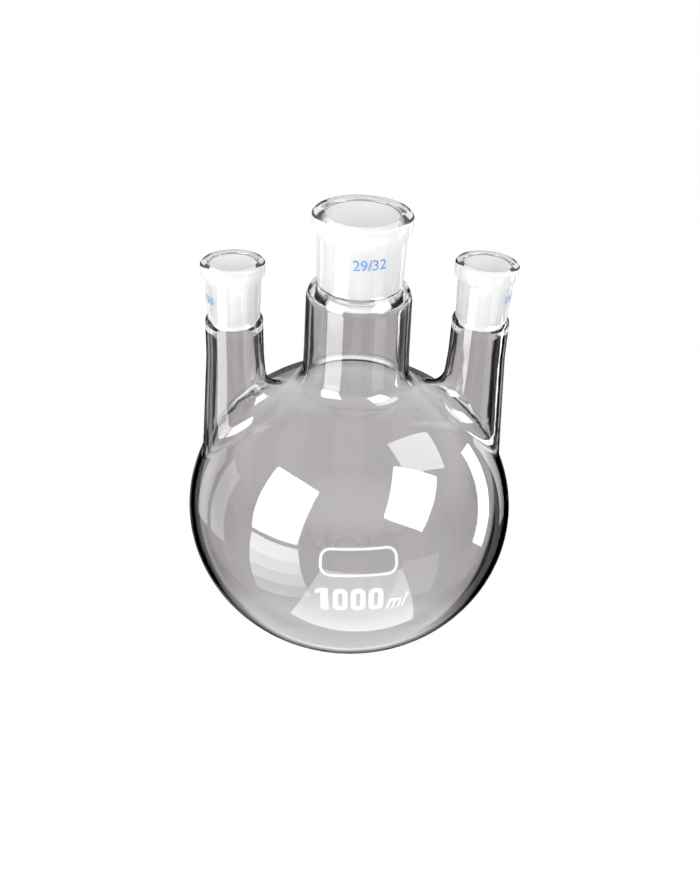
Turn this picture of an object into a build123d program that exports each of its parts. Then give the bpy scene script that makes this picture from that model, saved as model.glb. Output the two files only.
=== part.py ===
"""Three-neck round-bottom flask, blown in one piece of borosilicate glass.

The bulb, the wide centre neck and the two side necks are one skin of glass.
Each neck ends in a ground socket, whose bore is a standard taper, under a
rolled lip. The origin is the lowest point of the bulb, +Z runs up the centre
neck, and the side necks stand on the X axis. Lengths are in millimetres and
angles in degrees.
"""

from build123d import *

import os
from dataclasses import dataclass
from math import radians, tan

# The bulb is round in plan and a little flatter than a ball.
bulb_diameter = 131.0
bulb_height = 120.0
bulb_wall = 2.0

# What all three necks share.
bore_taper = 0.1                   # diameter lost for each unit of length
mouth_rounding = 0.7               # fire-polished edge where the bore opens
lip_edge_rounding = 1.2            # outer edge of the lip's top
lip_foot_rounding = 2.0            # where the lip runs in to the socket
flare_rounding = 60.0              # where the tube starts to open
throat_length = 1.0                # clear glass below the ground bore
shoulder_overlap = 3.0             # the shoulder starts above the bore's end

# The centre neck, with a 29/32 bore.
centre_bore_diameter = 29.2
centre_bore_length = 32.0
centre_neck_rise = 68.2            # from the top of the bulb to the lip
centre_socket_wall = 3.3           # at the mouth, outside the bore
centre_socket_narrowing = 1.6      # diameter that the outside loses
centre_lip_overhang = 2.1
centre_lip_height = 8.2
centre_shoulder_step = 3.9         # from the socket's foot out to the tube
centre_tube_wall = 2.2
centre_flare_start = 58.0          # below the lip, where the tube opens
centre_flare_angle = 1.5

# The side necks, each with a 19/26 bore.
side_bore_diameter = 18.8
side_bore_length = 26.0
side_neck_rise = 47.6
side_neck_inset = 15.3             # from the bulb's flank in to the lip's axis
side_neck_lean = 2.7               # the side necks part slightly as they rise
side_socket_wall = 1.7
side_socket_narrowing = 1.6
side_lip_overhang = 1.7
side_lip_height = 6.8
side_shoulder_step = 1.1
side_tube_wall = 1.9
side_flare_start = 40.0
side_flare_angle = 3.6

# Between the centre neck and a side neck, two seams share the bulb's top.
seam_clearance = 1.5               # plain glass left between the two seams
centre_seam_share = 0.5            # of the rest, how much is the centre neck's

bulb_radius = bulb_diameter / 2
bulb_centre = bulb_height / 2


@dataclass
class Neck:
    """The sizes of one neck. Its heights are measured from its own lip."""

    bore: float
    bore_length: float
    rise: float
    socket_wall: float
    narrowing: float
    overhang: float
    lip_height: float
    shoulder_step: float
    tube_wall: float
    flare_start: float
    flare_angle: float

    @property
    def depth(self):
        """From the lip down to the centre of the bulb."""
        return self.rise + bulb_centre

    @property
    def bore_radius(self):
        """Radius of the bore at its mouth."""
        return self.bore / 2

    @property
    def throat_radius(self):
        """Radius of the bore at its narrow end."""
        return (self.bore - bore_taper * self.bore_length) / 2

    @property
    def socket_radius(self):
        """Radius of the socket under its lip."""
        return self.bore_radius + self.socket_wall

    @property
    def foot_radius(self):
        """Radius of the socket where the shoulder starts."""
        return self.socket_radius - self.narrowing / 2

    @property
    def tube_radius(self):
        """Radius of the plain tube below the shoulder."""
        return self.foot_radius + self.shoulder_step

    def opening_tube(self, radius):
        """The corners of a tube that opens on its way down into the bulb."""
        run = self.depth - self.flare_start
        open_radius = radius + run * tan(radians(self.flare_angle))
        return [
            (0, -self.depth, 0),
            (open_radius, -self.depth, 0),
            (radius, -self.flare_start, flare_rounding),
        ]


centre_neck = Neck(
    bore=centre_bore_diameter,
    bore_length=centre_bore_length,
    rise=centre_neck_rise,
    socket_wall=centre_socket_wall,
    narrowing=centre_socket_narrowing,
    overhang=centre_lip_overhang,
    lip_height=centre_lip_height,
    shoulder_step=centre_shoulder_step,
    tube_wall=centre_tube_wall,
    flare_start=centre_flare_start,
    flare_angle=centre_flare_angle,
)

side_neck = Neck(
    bore=side_bore_diameter,
    bore_length=side_bore_length,
    rise=side_neck_rise,
    socket_wall=side_socket_wall,
    narrowing=side_socket_narrowing,
    overhang=side_lip_overhang,
    lip_height=side_lip_height,
    shoulder_step=side_shoulder_step,
    tube_wall=side_tube_wall,
    flare_start=side_flare_start,
    flare_angle=side_flare_angle,
)

side_lip_across = bulb_radius - side_neck_inset
side_foot_across = side_lip_across - side_neck_rise * tan(radians(side_neck_lean))
tubes_apart = side_foot_across - centre_neck.tube_radius - side_neck.tube_radius
both_seams = tubes_apart - seam_clearance
centre_seam_radius = both_seams * centre_seam_share
side_seam_radius = both_seams - centre_seam_radius


def turned(edges):
    """Turn a closed outline, drawn as radius and height, about the Z axis."""
    return revolve(make_face(Plane.YZ * Curve(edges)), Axis.Z, 360)


def rounded(corners):
    """A closed outline through corners given as radius, height and rounding."""
    points = [(radius, height) for radius, height, rounding in corners]
    roundings = [rounding for radius, height, rounding in corners]
    return FilletPolyline(*points, radius=roundings, close=True)


def ball(radius, half_height):
    """A slightly flattened ball standing at the height of the bulb."""
    arc = EllipticalCenterArc((0, 0), radius, half_height, -90, arc_size=180)
    return Pos(0, 0, bulb_centre) * turned([arc, Line(arc @ 1, arc @ 0)])


def neck_skin(neck):
    """The outside of a neck, filled, from its lip down into the bulb."""
    lip_radius = neck.socket_radius + neck.overhang
    lip_foot = neck.overhang - neck.lip_height
    shoulder_top = shoulder_overlap - neck.bore_length
    shoulder_foot = shoulder_top - neck.shoulder_step
    outline = rounded([
        *neck.opening_tube(neck.tube_radius),
        (neck.tube_radius, shoulder_foot, 2 * neck.shoulder_step),
        (neck.foot_radius, shoulder_top, neck.shoulder_step / 2),
        (neck.socket_radius, -neck.lip_height, lip_foot_rounding),
        (lip_radius, lip_foot, lip_foot_rounding),
        (lip_radius, 0, lip_edge_rounding),
        (0, 0, 0),
    ])
    return turned([outline])


def neck_space(neck):
    """The space in a neck: the tapered bore, the throat and the tube."""
    throat_foot = -neck.bore_length - throat_length
    inner_radius = neck.tube_radius - neck.tube_wall
    outline = rounded([
        *neck.opening_tube(inner_radius),
        (inner_radius, throat_foot - neck.tube_wall, neck.tube_wall),
        (neck.throat_radius, throat_foot, throat_length / 2),
        (neck.throat_radius, -neck.bore_length, 0),
        (neck.bore_radius, 0, 0),
        (0, 0, 0),
    ])
    return turned([outline])


def standing(part_of_neck, neck, across=0.0, lean=0.0):
    """Stand a neck over the bulb, its lip's centre `across` from the axis."""
    lip_centre = Pos(across, 0, bulb_height + neck.rise)
    return lip_centre * Rot(0, lean, 0) * part_of_neck


def joined(body, part_of_neck, seam_radius):
    """Run a neck into the body and round the seam between them."""
    whole = body + part_of_neck
    seam = new_edges(body, part_of_neck, combined=whole)
    return fillet(seam, seam_radius)


def with_necks(body, shape_of_neck, skin_depth):
    """Join the three necks to a ball, `skin_depth` inside the outer skin."""
    lean = side_neck_lean
    middle = standing(shape_of_neck(centre_neck), centre_neck)
    right = standing(shape_of_neck(side_neck), side_neck, side_lip_across, lean)
    left = standing(shape_of_neck(side_neck), side_neck, -side_lip_across, -lean)
    body = joined(body, middle, centre_seam_radius + skin_depth)
    body = joined(body, right, side_seam_radius + skin_depth)
    return joined(body, left, side_seam_radius + skin_depth)


def mouth_edges(body):
    """The round edges where the three bores open in their lips."""
    bore_radii = [neck.bore_radius for neck in (centre_neck, side_neck)]
    return [
        edge for edge in body.edges().filter_by(GeomType.CIRCLE)
        if min(abs(edge.radius - radius) for radius in bore_radii) < 1e-4
    ]


outside = with_necks(ball(bulb_radius, bulb_centre), neck_skin, 0)
hollow = ball(bulb_radius - bulb_wall, bulb_centre - bulb_wall)
inside = with_necks(hollow, neck_space, bulb_wall)
flask = outside - inside
flask = fillet(mouth_edges(flask), mouth_rounding)

os.makedirs("parts", exist_ok=True)
export_step(flask, "parts/flask.step")

print("seams", round(centre_seam_radius, 2), round(side_seam_radius, 2))
print("glass", round(flask.volume / 1000, 1), "ml, holds", round(inside.volume / 1000), "ml")
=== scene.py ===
# %% [markdown]
# # A three-neck round-bottom flask
#
# A flask like this is blown from borosilicate glass: one bulb, a wide centre
# neck for a stirrer or a condenser, and two narrower side necks. The glass
# comes from the frame as it is, at its real size. This notebook gives it its
# finish: the clear glass, the ground bores of the sockets and the fired
# enamel prints, and then a small studio to see it in. Lengths are in metres.

from math import asin, cos, hypot, pi, radians, sin, tan

import bmesh
import bpy
from mathutils import Matrix, Vector


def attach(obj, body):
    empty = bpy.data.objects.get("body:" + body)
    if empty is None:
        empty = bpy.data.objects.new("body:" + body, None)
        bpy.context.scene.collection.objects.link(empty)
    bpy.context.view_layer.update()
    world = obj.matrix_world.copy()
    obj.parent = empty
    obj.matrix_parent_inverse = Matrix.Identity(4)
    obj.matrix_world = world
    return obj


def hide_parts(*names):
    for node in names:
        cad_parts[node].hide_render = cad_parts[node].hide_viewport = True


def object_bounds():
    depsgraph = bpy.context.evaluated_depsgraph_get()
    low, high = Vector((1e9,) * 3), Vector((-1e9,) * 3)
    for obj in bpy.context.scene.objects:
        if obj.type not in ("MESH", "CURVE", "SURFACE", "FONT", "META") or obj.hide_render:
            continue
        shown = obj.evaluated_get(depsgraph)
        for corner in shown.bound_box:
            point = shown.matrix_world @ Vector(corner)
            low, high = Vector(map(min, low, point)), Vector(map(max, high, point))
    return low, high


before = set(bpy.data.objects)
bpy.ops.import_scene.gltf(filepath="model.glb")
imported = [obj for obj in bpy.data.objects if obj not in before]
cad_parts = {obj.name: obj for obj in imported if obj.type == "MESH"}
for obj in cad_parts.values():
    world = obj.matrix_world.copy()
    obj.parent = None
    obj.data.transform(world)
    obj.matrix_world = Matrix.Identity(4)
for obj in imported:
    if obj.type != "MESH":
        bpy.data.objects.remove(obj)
cad_low, cad_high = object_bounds()
print("flask in the frame, mm:", [round(1000 * side, 1) for side in cad_high - cad_low])

# %% [markdown]
# ## Sizes
#
# The bulb is an ellipsoid, a little flatter than a ball, with a wall of 2 mm.
# Each neck is written down by the centre of its lip, the way its axis points,
# its ground bore and the outside of its socket. The finishes find their
# places from these, so that nothing is placed by eye.

# %% Sizes of the bulb and the necks
MM = 0.001

BULB_RADIUS = (cad_high.x - cad_low.x) / 2
BULB_HALF_HEIGHT = 60.0 * MM
BULB_WALL = 2.0 * MM
BULB_CENTRE = Vector((0, 0, cad_low.z + BULB_HALF_HEIGHT))


class Neck:
    """A neck by its lip's centre, its lean to +X, its bore and its socket."""

    def __init__(self, lip, lean, bore, bore_length, mouth_wall, foot_wall):
        self.lip = Vector(lip)
        self.up = Vector((sin(lean), 0, cos(lean)))
        self.across = Vector((cos(lean), 0, -sin(lean)))
        self.bore = bore
        self.bore_length = bore_length
        self.mouth_wall = mouth_wall
        self.foot_wall = foot_wall

    def below_lip(self, point):
        return (self.lip - point).dot(self.up)

    def from_axis(self, point):
        away = point - self.lip
        return (away - self.up * away.dot(self.up)).length

    def bore_radius(self, depth):
        """The standard taper: a tenth of the length, on the diameter."""
        return self.bore / 2 - 0.05 * depth

    def outside_radius(self, depth):
        """The socket narrows evenly from its lip down to its shoulder."""
        share = depth / self.bore_length
        return self.bore / 2 + self.mouth_wall + (self.foot_wall - self.mouth_wall) * share


centre_neck = Neck(
    lip=(0, 0, cad_high.z), lean=0, bore=29.2 * MM, bore_length=32 * MM,
    mouth_wall=3.615 * MM, foot_wall=2.385 * MM)

SIDE_LIP = Vector((50.2, 0, 167.6)) * MM
SIDE_LEAN = radians(2.7)
side_sizes = dict(
    bore=18.8 * MM, bore_length=26 * MM, mouth_wall=2.036 * MM, foot_wall=0.752 * MM)
right_neck = Neck(lip=SIDE_LIP, lean=SIDE_LEAN, **side_sizes)
left_neck = Neck(lip=SIDE_LIP * Vector((-1, 1, 1)), lean=-SIDE_LEAN, **side_sizes)
necks = [centre_neck, left_neck, right_neck]
print("necks:", len(necks), "bulb radius, mm:", round(BULB_RADIUS / MM, 2))

# %% [markdown]
# ## Shaders written as sums
#
# A shader is arithmetic on patterns. `Field` wraps one socket of a node, so
# that a pattern can be added, scaled and compared like a number, and one
# method, `make`, adds every other kind of node: its settings first, then the
# values or links of its sockets.

# %% Shader arithmetic
class Field:
    """A number, colour or vector that varies over a surface."""

    def __init__(self, shader, socket):
        self.shader = shader
        self.socket = socket

    def __getitem__(self, output):
        """Another output of the same node."""
        return Field(self.shader, self.socket.node.outputs[output])

    def math(self, operation, *others):
        return self.shader.math(operation, self, *others)

    def __add__(self, other):
        return self.math("ADD", other)

    def __sub__(self, other):
        return self.math("SUBTRACT", other)

    def __rsub__(self, other):
        return self.shader.math("SUBTRACT", other, self)

    def __mul__(self, other):
        return self.math("MULTIPLY", other)

    def __gt__(self, other):
        return self.math("GREATER_THAN", other)

    __radd__ = __add__
    __rmul__ = __mul__

    def eased(self, start, end):
        """Runs smoothly from 0 at start to 1 at end."""
        return self.shader.make(
            "MapRange", {"interpolation_type": "SMOOTHSTEP"},
            {"Value": self, "From Min": start, "From Max": end}, "Result")

    def between(self, low, high):
        """Runs from low to high as the field goes from 0 to 1."""
        return self * (high - low) + low

    def tinted(self, low, high):
        """A colour that runs from low to high as the field goes from 0 to 1."""
        return self.shader.make(
            "Mix", {"data_type": "RGBA"},
            {"Factor": self, "A": (*low, 1), "B": (*high, 1)}, "Result")


class Shader:
    """A node tree that starts empty and is filled by expressions."""

    def __init__(self, tree):
        self.tree = tree
        tree.nodes.clear()

    def make(self, kind, settings, sockets, output):
        """Any node: its type, its settings, its sockets, and the output wanted."""
        node = self.tree.nodes.new("ShaderNode" + kind)
        for name, value in settings.items():
            setattr(node, name, value)
        for name, value in sockets.items():
            if isinstance(value, Field):
                self.tree.links.new(value.socket, node.inputs[name])
            else:
                node.inputs[name].default_value = value
        return Field(self, node.outputs[output])

    def math(self, operation, *values):
        return self.make("Math", {"operation": operation}, dict(enumerate(values)), "Value")

    def noise(self, scale):
        """Cloudy noise that stays with the piece, with scale clouds to a metre."""
        place = self.make("TexCoord", {}, {}, "Object")
        return self.make(
            "TexNoise", {}, {"Vector": place, "Scale": scale, "Detail": 2.0}, "Fac")

    def relief(self, height, strength, depth):
        """Slopes that shade as if the surface rose by depth with the height."""
        return self.make(
            "Bump", {}, {"Height": height, "Strength": strength, "Distance": depth}, "Normal")

    def finish(self, kind, surface):
        output = self.tree.nodes.new("ShaderNodeOutput" + kind)
        self.tree.links.new(surface.socket, output.inputs["Surface"])


def new_material(name):
    material = bpy.data.materials.new(name)
    material.use_nodes = True
    return material, Shader(material.node_tree)


# %% [markdown]
# ## Clear glass
#
# Borosilicate glass is nearly colourless and bends light by an index of 1.47.
# The flame leaves its skin smooth, with only a slow waviness where the wall
# was blown, so the relief is a faint, wide noise and the roughness is none.
# A painted rim or a grey tint would look right from one side only; here the
# dark outline comes from what the curved wall bends into view. Seen edge-on,
# glass mirrors as well as a mirror does, and on white the bright windows
# would eat into its outline. A studio keeps black cards there. Here the last
# few millimetres before the outline, on any side, bend light without
# mirroring it, which does the same for every view.

# %% The clear glass
GLASS_INDEX = 1.47
NEAR_THE_OUTLINE = (0.60, 0.78)


def clear_glass():
    material, shader = new_material("clear_glass")
    waves = shader.noise(scale=26.0)
    glass = shader.make("BsdfPrincipled", {}, {
        "Base Color": waves.tinted((0.965, 0.975, 0.972), (0.990, 0.993, 0.992)),
        "Roughness": 0.0,
        "IOR": GLASS_INDEX,
        "Transmission Weight": 1.0,
        "Normal": shader.relief(waves, 0.08, 1.0 * MM),
    }, "BSDF")
    unmirrored = shader.make("BsdfRefraction", {}, {
        "Color": (0.98, 0.98, 0.98, 1.0), "Roughness": 0.0, "IOR": GLASS_INDEX}, "BSDF")
    facing_away = shader.make("LayerWeight", {}, {"Blend": 0.5}, "Facing")
    edge_on = facing_away.eased(*NEAR_THE_OUTLINE)
    shader.finish("Material", shader.make(
        "MixShader", {}, {0: edge_on, 1: glass, 2: unmirrored}, "Shader"))
    return material


clear = clear_glass()
print("clear glass, index:", GLASS_INDEX)


# %% [markdown]
# ## Ground glass
#
# The bore of each socket is ground to a fine matt cone, so that a cone of the
# same taper seals in it. The grinding scatters light, which is why the sockets
# look white although the glass outside the bore is clear. It is a diffuse
# skin that still lets some light through, with a grain finer than a hair.

# %% The ground glass
def ground_glass():
    material, shader = new_material("ground_glass")
    grain = shader.noise(scale=2600.0)
    clouds = shader.noise(scale=150.0)
    frosted = shader.make("BsdfPrincipled", {}, {
        "Base Color": clouds.tinted((0.975, 0.977, 0.980), (0.997, 0.998, 1.0)),
        "Roughness": grain.between(0.5, 0.7),
        "IOR": GLASS_INDEX,
        "Transmission Weight": 0.12,
        "Specular IOR Level": 0.25,
        "Normal": shader.relief(grain, 0.2, 0.3 * MM),
    }, "BSDF")
    shader.finish("Material", frosted)
    return material


ground = ground_glass()
print("ground glass:", ground.name)


# %% [markdown]
# ## Enamel
#
# The prints are ceramic enamel, screened on and fired in. It lies on the glass
# as a thin, slightly grainy layer that is a little thinner in places: white
# for the capacity and blue for the sizes.

# %% The enamels
def enamel(name, thin, full):
    material, shader = new_material(name)
    specks = shader.noise(scale=1800.0)
    cover = shader.noise(scale=260.0).eased(0.3, 0.6)
    fired = shader.make("BsdfPrincipled", {}, {
        "Base Color": cover.tinted(thin, full),
        "Roughness": specks.between(0.35, 0.55),
        "Normal": shader.relief(specks, 0.2, 0.3 * MM),
    }, "BSDF")
    shader.finish("Material", fired)
    return material


white_enamel = enamel("white_enamel", (0.93, 0.93, 0.925), (0.985, 0.985, 0.98))
blue_enamel = enamel("blue_enamel", (0.24, 0.48, 0.84), (0.14, 0.38, 0.76))
print("materials:", [material.name for material in bpy.data.materials])

# %% [markdown]
# ## The glass piece
#
# The glass is the frame's own skin, copied and welded. Each bore is ground
# from a little below the lip down to its narrow end; the rim above stays
# clear, because the flame that rounds the lip melts it smooth again. A ring
# cut with a plane gives that border a clean edge.

# %% The ground bores
CLEAR_RIM = 1.0 * MM
WELD = 0.001 * MM
ON_THE_BORE = 0.08 * MM


def bore_faces(shape, neck):
    """The faces that lie on the neck's tapered bore."""
    found = []
    for face in shape.faces:
        middle = face.calc_center_median()
        depth = neck.below_lip(middle)
        if 0 < depth < neck.bore_length:
            if abs(neck.from_axis(middle) - neck.bore_radius(depth)) < ON_THE_BORE:
                found.append(face)
    return found


def grind(shape, neck):
    """Cut a ring round the bore, and give what lies below it the ground skin."""
    faces = bore_faces(shape, neck)
    edges = {edge for face in faces for edge in face.edges}
    corners = {corner for face in faces for corner in face.verts}
    bmesh.ops.bisect_plane(
        shape, geom=[*faces, *edges, *corners],
        plane_co=neck.lip - neck.up * CLEAR_RIM, plane_no=neck.up)
    for face in bore_faces(shape, neck):
        if neck.below_lip(face.calc_center_median()) > CLEAR_RIM:
            face.material_index = 1


# %% [markdown]
# Glass shows every flaw of its shading, because it bends what is behind it.
# The skin is made of small flat faces, so each corner on the bulb is told the
# true slope of the ellipsoid there. Only the creases of the real glass stay
# sharp.

# %% True slopes for the skin
ON_THE_BULB = 0.02 * MM
CREASE = radians(30)


def bulb_slope(point):
    """The ellipsoid's outward slope, or None where the point isn't on it."""
    away = point - BULB_CENTRE
    for wall, side in ((0, 1), (BULB_WALL, -1)):
        radius, half_height = BULB_RADIUS - wall, BULB_HALF_HEIGHT - wall
        level = hypot(away.x / radius, away.y / radius, away.z / half_height)
        if abs(level - 1) * radius < ON_THE_BULB:
            slope = Vector((
                away.x / radius ** 2, away.y / radius ** 2, away.z / half_height ** 2))
            return slope.normalized() * side
    return None


def glass_piece():
    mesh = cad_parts["flask"].data.copy()
    mesh.name = "flask_glass"
    mesh.materials.clear()
    mesh.materials.append(clear)
    mesh.materials.append(ground)
    for stale in [layer.name for layer in mesh.attributes if layer.name == "custom_normal"]:
        mesh.attributes.remove(mesh.attributes[stale])
    shape = bmesh.new()
    shape.from_mesh(mesh)
    bmesh.ops.remove_doubles(shape, verts=shape.verts, dist=WELD)
    for face in shape.faces:
        face.smooth = True
        face.material_index = 0
    for edge in shape.edges:
        edge.smooth = edge.calc_face_angle(0) < CREASE
    for neck in necks:
        grind(shape, neck)
    slopes = []
    for corner in shape.verts:
        slopes.append(bulb_slope(corner.co) or Vector((0, 0, 0)))
    shape.to_mesh(mesh)
    shape.free()
    mesh.normals_split_custom_set_from_vertices(slopes)
    piece = bpy.data.objects.new("flask_glass", mesh)
    bpy.context.scene.collection.objects.link(piece)
    print("corners with the bulb's slope:", sum(1 for slope in slopes if slope.length > 0))
    return piece


# %% The glass
glass = glass_piece()
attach(glass, "root")
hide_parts("flask")
ground_count = sum(1 for face in glass.data.polygons if face.material_index == 1)
print("glass faces:", len(glass.data.polygons), "of them ground:", ground_count)

# %% [markdown]
# ## Prints
#
# A print is lettering bent round the glass. It is drawn flat, cut into narrow
# strips so that it can bend, laid on the surface, and given the thickness of
# an enamel layer. Its back faces the glass, so it also shows from behind.

# %% Lettering
ENAMEL = 0.05 * MM
STRIP = 0.6 * MM
ASKEW = radians(2.3)


def flat_mesh_of(curve):
    """The flat faces of a curve or of words."""
    drawing = bpy.data.objects.new(curve.name, curve)
    bpy.context.scene.collection.objects.link(drawing)
    bpy.context.view_layer.update()
    mesh = bpy.data.meshes.new_from_object(drawing)
    bpy.data.objects.remove(drawing)
    shape = bmesh.new()
    shape.from_mesh(mesh)
    bpy.data.meshes.remove(mesh)
    return shape


def lettering(words, width, height, weight, slant=0.0):
    """Flat words of the given size, centred on the origin."""
    curve = bpy.data.curves.new(words, "FONT")
    curve.body = words
    curve.offset = weight
    curve.shear = slant
    curve.resolution_u = 4
    shape = flat_mesh_of(curve)
    xs = [corner.co.x for corner in shape.verts]
    ys = [corner.co.y for corner in shape.verts]
    middle = Vector(((max(xs) + min(xs)) / 2, (max(ys) + min(ys)) / 2, 0))
    stretch = Vector((width / (max(xs) - min(xs)), height / (max(ys) - min(ys)), 1))
    bmesh.ops.translate(shape, vec=-middle, verts=shape.verts)
    bmesh.ops.scale(shape, vec=stretch, verts=shape.verts)
    return shape


def rounded_ring(width, height, rounding, line):
    """A flat ring of even width with rounded corners."""
    shape = bmesh.new()
    bmesh.ops.create_grid(shape, x_segments=1, y_segments=1, size=0.5)
    bmesh.ops.scale(shape, vec=(width, height, 1), verts=shape.verts)
    bmesh.ops.bevel(
        shape, geom=shape.verts[:], offset=rounding, offset_type="OFFSET",
        affect="VERTICES", segments=8, profile=0.5, material=-1)
    face = max(shape.faces, key=lambda found: found.calc_area())
    bmesh.ops.inset_region(
        shape, faces=[face], thickness=line, use_boundary=True, use_even_offset=True)
    bmesh.ops.delete(shape, geom=[face], context="FACES")
    return shape


def heavy_one(width, height, stem):
    """A 1 with a straight stem and a short flag at its top left."""
    shape = bmesh.new()
    bmesh.ops.create_grid(shape, x_segments=1, y_segments=5, size=0.5)
    bmesh.ops.scale(shape, vec=(stem, height, 1), verts=shape.verts)
    top = [edge for edge in shape.edges if edge.is_boundary and all(
        corner.co.x < 0 and corner.co.y > 0.2 * height for corner in edge.verts)]
    flag = bmesh.ops.extrude_edge_only(shape, edges=top)
    tip = [item for item in flag["geom"] if isinstance(item, bmesh.types.BMVert)]
    bmesh.ops.translate(shape, vec=(stem - width, -0.09 * height, 0), verts=tip)
    bmesh.ops.translate(shape, vec=((width - stem) / 2, 0, 0), verts=shape.verts)
    return shape


def cut_into_strips(shape):
    """Cuts both ways, so that a flat shape can follow a round one."""
    bmesh.ops.remove_doubles(shape, verts=shape.verts, dist=0.002 * MM)
    for axis in (Vector((1, 0, 0)), Vector((0, 1, 0))):
        places = [corner.co.dot(axis) for corner in shape.verts]
        first, last = int(min(places) / STRIP) - 1, int(max(places) / STRIP) + 1
        for step in range(first, last + 1):
            bmesh.ops.bisect_plane(
                shape, geom=[*shape.verts, *shape.edges, *shape.faces],
                plane_co=axis * step * STRIP, plane_no=axis)


def placed(shape, across, up):
    """Moves a flat shape to its place in a print that stands a little askew."""
    bmesh.ops.translate(shape, vec=(across, up, 0), verts=shape.verts)
    bmesh.ops.rotate(shape, matrix=Matrix.Rotation(ASKEW, 3, "Z"), verts=shape.verts)
    return shape


# %% Laying a print on the glass
def on_bulb(height):
    """Lays a print on the bulb's front, round a point at that height."""
    start = asin((height - BULB_CENTRE.z) / BULB_HALF_HEIGHT)
    ring = BULB_RADIUS * cos(start)
    climb = hypot(BULB_RADIUS * sin(start), BULB_HALF_HEIGHT * cos(start))

    def place(x, y):
        turn = x / ring
        rise = start + y / climb
        outwards = Vector((sin(turn), -cos(turn), 0))
        spot = outwards * BULB_RADIUS * cos(rise) + Vector((0, 0, BULB_HALF_HEIGHT * sin(rise)))
        slope = outwards * cos(rise) / BULB_RADIUS + Vector((0, 0, sin(rise) / BULB_HALF_HEIGHT))
        return BULB_CENTRE + spot, slope.normalized()

    return place


def on_socket(neck, azimuth, depth):
    """Lays a print on a socket, centred at that depth below its lip."""
    ring = neck.outside_radius(depth)

    def place(x, y):
        turn = azimuth + x / ring
        outwards = neck.across * sin(turn) + Vector((0, -1, 0)) * cos(turn)
        spot = neck.lip - neck.up * (depth - y) + outwards * neck.outside_radius(depth - y)
        return spot, outwards

    return place


def finished_print(name, flats, place, material):
    """Join flat shapes, bend them on to the glass and give them a thickness."""
    whole = bmesh.new()
    for flat in flats:
        cut_into_strips(flat)
        base = bpy.data.meshes.new(name)
        flat.to_mesh(base)
        flat.free()
        whole.from_mesh(base)
        bpy.data.meshes.remove(base)
    raised = bmesh.ops.extrude_face_region(whole, geom=whole.faces[:])
    upper = {item for item in raised["geom"] if isinstance(item, bmesh.types.BMVert)}
    for corner in whole.verts:
        spot, slope = place(corner.co.x, corner.co.y)
        corner.co = spot + slope * (ENAMEL if corner in upper else 0.2 * ENAMEL)
    bmesh.ops.recalc_face_normals(whole, faces=whole.faces)
    mesh = bpy.data.meshes.new(name)
    whole.to_mesh(mesh)
    whole.free()
    mesh.materials.append(material)
    piece = bpy.data.objects.new(name, mesh)
    bpy.context.scene.collection.objects.link(piece)
    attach(piece, "root")
    print(name, "faces:", len(mesh.polygons))
    return piece


# %% [markdown]
# The capacity stands on the bulb's front in heavy white digits, with a small
# slanted unit after it, under a plain field for writing on. Each socket has
# its size in blue: the centre one in front, the side ones on their outer
# flanks. The screen was a little askew, so all of them climb to the right.
# A font's strokes fill up when they are made this heavy, so the digits are
# plain shapes: each nought is a rounded ring, and the 1 is a bar with a flag.

# %% The capacity
DIGIT_HEIGHT = 10.6 * MM
NOUGHT_PLACES = (-9.0 * MM, -2.0 * MM, 5.0 * MM)
CAPACITY_HEIGHT = 52.7 * MM        # above the bulb's lowest point

one = heavy_one(5.2 * MM, DIGIT_HEIGHT, stem=3.1 * MM)
capacity = [placed(one, -16.3 * MM, 0)]
for place in NOUGHT_PLACES:
    nought = rounded_ring(5.9 * MM, DIGIT_HEIGHT, rounding=2.6 * MM, line=2.15 * MM)
    capacity.append(placed(nought, place, 0))
unit = lettering("ml", 9.6 * MM, 7.4 * MM, weight=0.035, slant=0.35)
capacity.append(placed(unit, 13.6 * MM, -1.7 * MM))
writing_field = rounded_ring(31.0 * MM, 12.0 * MM, rounding=4.5 * MM, line=1.1 * MM)
capacity.append(placed(writing_field, -1.8 * MM, 16.6 * MM))
finished_print("capacity_print", capacity, on_bulb(CAPACITY_HEIGHT), white_enamel)

# %% The sizes of the sockets
SIZE_WEIGHT = 0.008

centre_size = placed(lettering("29/32", 13.3 * MM, 4.5 * MM, SIZE_WEIGHT), 0, 0)
finished_print(
    "centre_size_print", [centre_size],
    on_socket(centre_neck, radians(5.5), 14.9 * MM), blue_enamel)

for side, neck, azimuth, depth in (
        ("left", left_neck, -75, 14.0), ("right", right_neck, 70, 12.5)):
    side_size = placed(lettering("19/26", 9.6 * MM, 3.2 * MM, SIZE_WEIGHT), 0, 0)
    finished_print(
        side + "_size_print", [side_size],
        on_socket(neck, radians(azimuth), depth * MM), blue_enamel)

# %% [markdown]
# ## The studio
#
# Glass shows mostly what is around it. The background is plain white, but a
# flask that shows only white has no outline, so photographers stand dark
# cards beside it: the curved walls near its edges bend them into view as
# black lines. Here the surround does this. It is white for the camera, and a
# pale grey with darker upright sectors for what the glass bends and mirrors.
# The sectors stand all round, so the flask has its outline from every side.
# A lamp's light can't be traced through clear glass, so what lights the ground
# bores behind it is the surround as well, as a plain bright room.

# %% The surround
GREY_PERIOD = 45            # degrees from one grey sector to the next
GREY_TURN = 4.6             # degrees that all the sectors are turned
GREY_STUDIO = (0.44, 0.416, 0.412)
WHITE = (1.0, 1.0, 1.0, 1.0)


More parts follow.
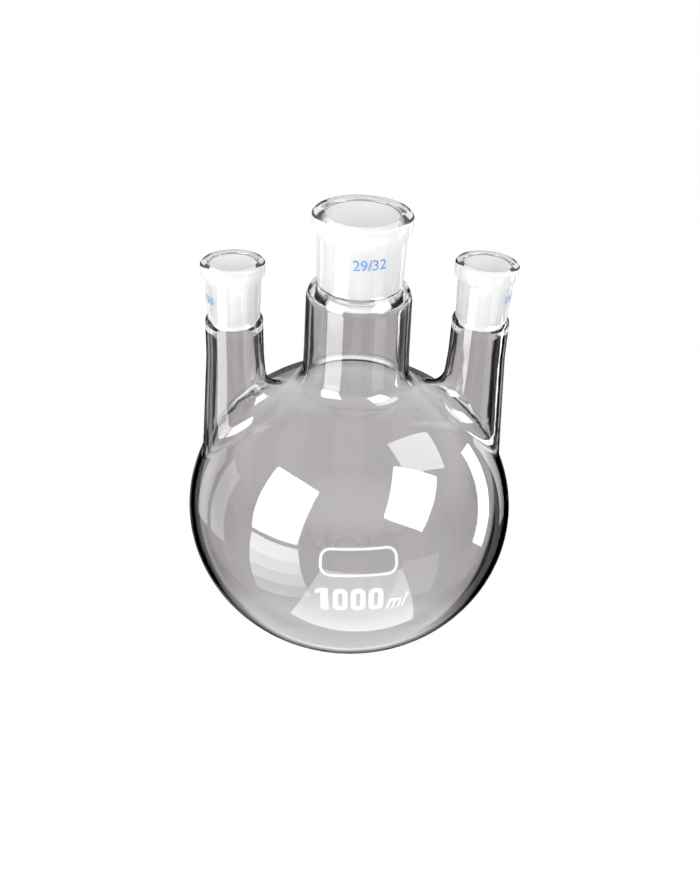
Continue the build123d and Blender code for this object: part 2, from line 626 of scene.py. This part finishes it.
def dark_cards(turn, height, ray):
    """Where the dark cards stand, from 0 to 1, by compass turn and height."""
    sectors = (turn * (360 / GREY_PERIOD)).math("COSINE")
    # Light that is mirrored once inside a wall, and leaves it again, has run
    # along the wall. It always meets a card, so that the rim is solid.
    mirrored_once = (ray["Glossy Depth"] > 0.5) - (ray["Glossy Depth"] > 1.5)
    in_one_wall = mirrored_once - (ray["Transmission Depth"] > 2.5)
    along_the_wall = ray["Is Transmission Ray"] * in_one_wall
    cards = (1 - sectors.eased(-0.16, 0.02)).math("MAXIMUM", along_the_wall)
    return cards * height.eased(-0.78, -0.64) * (1 - height.eased(0.05, 0.35))


def surround():
    world = bpy.data.worlds.new("surround")
    bpy.context.scene.world = world
    world.use_nodes = True
    shader = Shader(world.node_tree)
    direction = shader.make("TexCoord", {}, {}, "Generated")
    x = shader.make("SeparateXYZ", {}, {"Vector": direction}, "X")
    height = x["Z"]
    turn = x.math("ARCTAN2", x["Y"]) - radians(GREY_TURN)
    ray = shader.make("LightPath", {}, {}, "Is Camera Ray")

    def light_of(colour, strength):
        return shader.make(
            "Background", {}, {"Color": colour, "Strength": strength}, "Background")

    def either(chooser, first, second):
        return shader.make("MixShader", {}, {0: chooser, 1: first, 2: second}, "Shader")

    # The studio is grey up to a white ceiling, and down to a white table.
    pale = height.eased(0.15, 0.50).math("MAXIMUM", 1 - height.eased(-0.84, -0.74))
    studio = light_of(
        pale.tinted(GREY_STUDIO, WHITE[:3]), 1 - dark_cards(turn, height, ray))
    # What the ground glass scatters is the light of a plain room, brighter
    # above. Where it is scattered twice, inside a bore, some of it is lost.
    room = height.eased(-0.6, 0.1).between(0.42, 1.60)
    room = room * (ray["Diffuse Depth"] > 1.5).between(1.0, 0.55)
    bent = either(ray["Diffuse Depth"] > 0.5, studio, light_of(WHITE, room))
    in_the_glass = ray["Is Glossy Ray"].math("MAXIMUM", ray["Is Transmission Ray"])
    others = either(in_the_glass, light_of(WHITE, 0.6), bent)
    shader.finish("World", either(ray, others, light_of(WHITE, 1.0)))


surround()
print("dark cards round the flask:", 360 // GREY_PERIOD)

# %% [markdown]
# The floor is white for the camera and keeps a soft shadow of the flask. The
# glass doesn't mirror it, because it mirrors the surround.

# %% The floor
FLOOR_HALF = 3.0
FLOOR_GLOW = 0.85           # the rest is lit, and so takes the shadow
FLOOR_WHITE = 1.07


def floor():
    shape = bmesh.new()
    bmesh.ops.create_grid(shape, x_segments=1, y_segments=1, size=FLOOR_HALF)
    bmesh.ops.translate(shape, vec=(0, 0, cad_low.z - 0.2 * MM), verts=shape.verts)
    mesh = bpy.data.meshes.new("floor")
    shape.to_mesh(mesh)
    shape.free()
    material, shader = new_material("floor")
    pale = shader.make("BsdfDiffuse", {}, {"Color": (0.9, 0.9, 0.9, 1)}, "BSDF")
    white = shader.make("Emission", {}, {"Color": WHITE, "Strength": FLOOR_WHITE}, "Emission")
    to_camera = shader.make("LightPath", {}, {}, "Is Camera Ray") * FLOOR_GLOW
    shader.finish("Material", shader.make(
        "MixShader", {}, {0: to_camera, 1: pale, 2: white}, "Shader"))
    mesh.materials.append(material)
    piece = bpy.data.objects.new("floor", mesh)
    bpy.context.scene.collection.objects.link(piece)
    piece.visible_glossy = False
    piece.visible_transmission = False


floor()
print("floor, m across:", 2 * FLOOR_HALF)

# %% [markdown]
# The room's light is plain and even, from two wide lamps in front that the
# glass doesn't mirror. The bright shapes on the glass are lamps that only the
# glass mirrors. There is a window at the left, one at the right that a bar
# splits, and a tall, tilted one at the side, with weak glows on the walls
# behind. Their light falls on the table: at the left in sheets that overlap,
# so that it fades towards the viewer, at the right in a weak patch, and in
# front in a panel close under the bulb, too low for the upright necks.

# %% The lamps
AIM = Vector((0, 0, 0.06))


def facing(azimuth, elevation, distance=1.0, roll=0, aim=AIM):
    """A place that looks at the flask. Azimuth 0 is in front and 90 at +X."""
    turn, lift = radians(azimuth), radians(elevation)
    sideways = Vector((cos(turn), sin(turn), 0))
    away = Vector((sin(turn) * cos(lift), -cos(turn) * cos(lift), sin(lift)))
    upwards = away.cross(sideways)
    upwards = upwards if upwards.z > 0 else -upwards
    along = sideways * cos(radians(roll)) + upwards * sin(radians(roll))
    axes = Matrix((along, away.cross(along), away)).transposed()
    return Matrix.Translation(aim + away * distance) @ axes.to_4x4()


def lamp(name, place, size, radiance, for_glass=True):
    """A flat lamp that either only the glass mirrors, or only lights the rest."""
    light = bpy.data.lights.new(name, "AREA")
    light.shape = "RECTANGLE"
    light.size, light.size_y = size
    light.energy = radiance * pi * size[0] * size[1]
    box = bpy.data.objects.new(name, light)
    box.matrix_world = place
    bpy.context.scene.collection.objects.link(box)
    box.visible_camera = False
    box.visible_transmission = False
    box.visible_diffuse = not for_glass
    box.visible_glossy = for_glass


def span(degrees):
    """The size, a metre away, of what spans that angle."""
    return 2 * tan(radians(degrees / 2))


lamp("left_light", facing(-45, 30, distance=1.2), (1.0, 1.0), 1.3, for_glass=False)
lamp("right_light", facing(45, 35, distance=1.2), (1.0, 1.0), 1.1, for_glass=False)
lamp("left_window", facing(-57, 21), (span(38), span(46)), 17.0)
lamp("right_window", facing(46, 32, roll=50), (span(40), span(32)), 17.0)
lamp("right_window_top", facing(82, 51, roll=50), (span(24), span(31)), 9.0)
lamp("side_window", facing(104, 0, roll=-28), (span(14), span(46)), 12.0)
lamp("left_glow", facing(-107, -3), (span(16), span(40)), 2.2)
lamp("left_far_glow", facing(-128, -6), (span(16), span(34)), 1.8)
lamp("right_far_glow", facing(130, -6), (span(12), span(34)), 3.0)

for reach in (12, 22, 32, 42):
    lamp(f"left_table_{reach}", facing(-56, -5 - reach / 2), (span(36), span(reach)), 2.8)
lamp("right_table", facing(44, -27), (span(26), span(30)), 1.6)
NEAR_TABLE = Vector((0, -60, 50)) * MM
lamp("front_table", facing(4, -51, distance=0.2, aim=NEAR_TABLE), (0.27, 0.27), 5.0)
print("lamps:", len(bpy.data.lights))

# %% [markdown]
# ## The camera
#
# A long lens, a metre away and 27 degrees above the horizon, keeps the necks
# nearly parallel and still looks down into their sockets. It stands a little
# to the left of the front, and is rolled by less than 3 degrees.

# %% The camera
def camera(stand, target, roll, lens):
    optics = bpy.data.cameras.new("camera")
    optics.lens = lens
    optics.sensor_width = 36.0
    optics.clip_start = 0.05
    view = bpy.data.objects.new("camera", optics)
    bpy.context.scene.collection.objects.link(view)
    ahead = (target - stand).normalized()
    right = ahead.cross(Vector((0, 0, 1))).normalized()
    rolled = right * cos(roll) + right.cross(ahead) * sin(roll)
    turn = Matrix((rolled, rolled.cross(ahead), -ahead)).transposed()
    view.matrix_world = Matrix.Translation(stand) @ turn.to_4x4()
    bpy.context.scene.camera = view


camera(
    stand=Vector((-99.78, -886.49, 543.59)) * MM,
    target=Vector((-1.01, 0.11, 91.66)) * MM,
    roll=radians(2.723), lens=102.3)
bpy.context.scene.view_settings.view_transform = "Standard"
print("camera, m from the flask:", round(bpy.context.scene.camera.location.length, 2))
